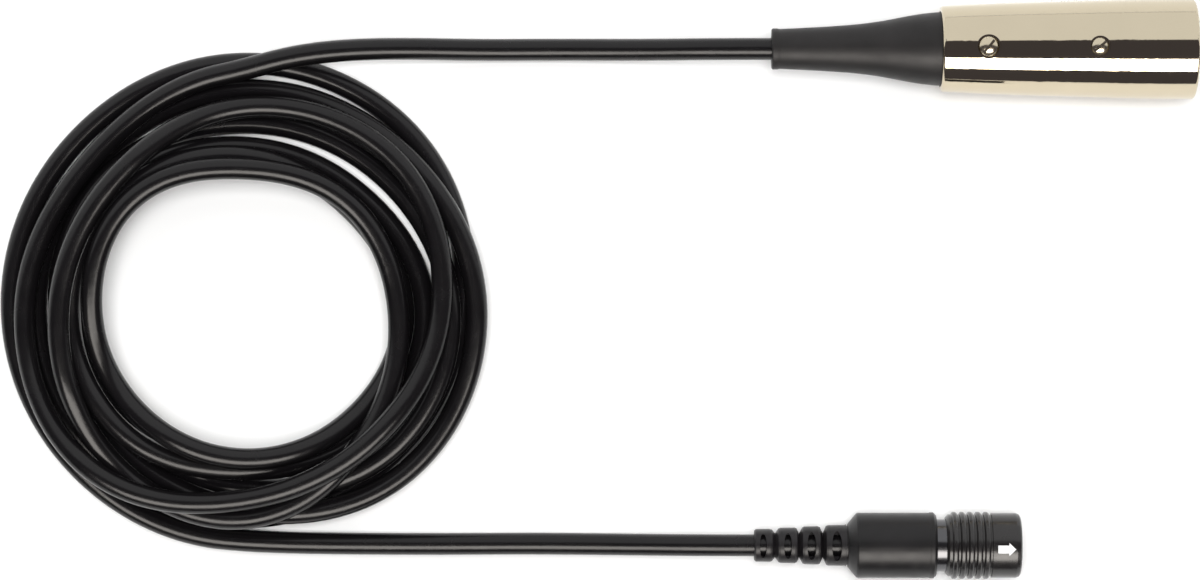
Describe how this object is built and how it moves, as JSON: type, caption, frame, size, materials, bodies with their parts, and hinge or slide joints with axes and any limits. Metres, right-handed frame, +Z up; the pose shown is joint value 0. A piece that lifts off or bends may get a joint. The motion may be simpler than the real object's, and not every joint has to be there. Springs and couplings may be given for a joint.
{
  "type": "xlr cable coil",
  "caption": "Coiled microphone cable with a metal pin plug at one end and a small push-pull connector with a sprung coupling sleeve at the other.",
  "frame": {"origin": "on the table under the middle of the metal plug, which lies on the rim of its mouth", "axes": "+X along the plug towards its open mouth, +Y from the push-pull connector to the plug, +Z up from the table"},
  "size_m": [0.2266, 0.1104, 0.0191],
  "materials": {
    "bright_nickel": "bright nickel plate",
    "bright_screw": "bright nickel plate",
    "insulator_black": "moulded",
    "contact_silver": "silver plate",
    "contact_gold": "gold plate",
    "boot_rubber": "satin moulded",
    "clamp_metal": "tumbled",
    "cable_jacket": "smooth, slightly shiny",
    "core_black": "extruded",
    "core_red": "extruded",
    "core_white": "extruded",
    "relief_rubber": "satin moulded",
    "connector_black": "satin moulded",
    "barrel_metal": "black chrome",
    "sleeve_black": "satin to gloss",
    "arrow_white": "printed",
    "spring_steel": "drawn wire"
  },
  "bodies": {
    "assembly": {"xlr_shell": "bright_nickel", "xlr_insert": "insulator_black", "contact_pin_1": "contact_silver", "contact_pin_2": "contact_silver", "contact_pin_3": "contact_silver", "strain_boot": "boot_rubber", "cable_clamp_top": "clamp_metal", "cable_clamp_bottom": "clamp_metal", "insulating_sleeve": "insulator_black", "jacket_end_plug": "cable_jacket", "plug_core_1": "core_black", "plug_core_2": "core_red", "plug_core_3": "core_white", "strain_relief": "relief_rubber", "connector_body": "connector_black", "inner_barrel": "barrel_metal", "sleeve_spring": "spring_steel", "contact_insert": "insulator_black", "socket_contact_1": "contact_gold", "socket_contact_2": "contact_gold", "socket_contact_3": "contact_gold", "connector_core_1": "core_black", "connector_core_2": "core_red", "connector_core_3": "core_white", "jacket_end_connector": "cable_jacket", "crimp_ferrule": "clamp_metal", "cable_run_to_plug": "cable_jacket", "cable_run_to_connector": "cable_jacket", "cable_coil": "cable_jacket"},
    "sleeve": {"coupling_sleeve": "sleeve_black", "alignment_arrow": "arrow_white"},
    "insert_screw_body": {"insert_screw": "bright_screw"},
    "clamp_screw_body": {"clamp_screw": "bright_screw"}
  },
  "joints": [
    {"name": "sleeve_pull", "type": "slide", "parent": "assembly", "child": "sleeve", "axis": [-1, 0, 0], "range_m": [0, 0.0012], "stiffness_N_per_m": 1500, "springref_m": -0.001, "deforming": ["sleeve_spring"]},
    {"name": "insert_screw_turn", "type": "hinge", "parent": "assembly", "child": "insert_screw_body", "pos_m": [0.0213, 0, 0.0183], "axis": [0, 0, 1], "range_deg": [0, 360]},
    {"name": "clamp_screw_turn", "type": "hinge", "parent": "assembly", "child": "clamp_screw_body", "pos_m": [0.00045, 0, 0.0176], "axis": [0, 0, 1], "range_deg": [0, 360]}
  ]
}
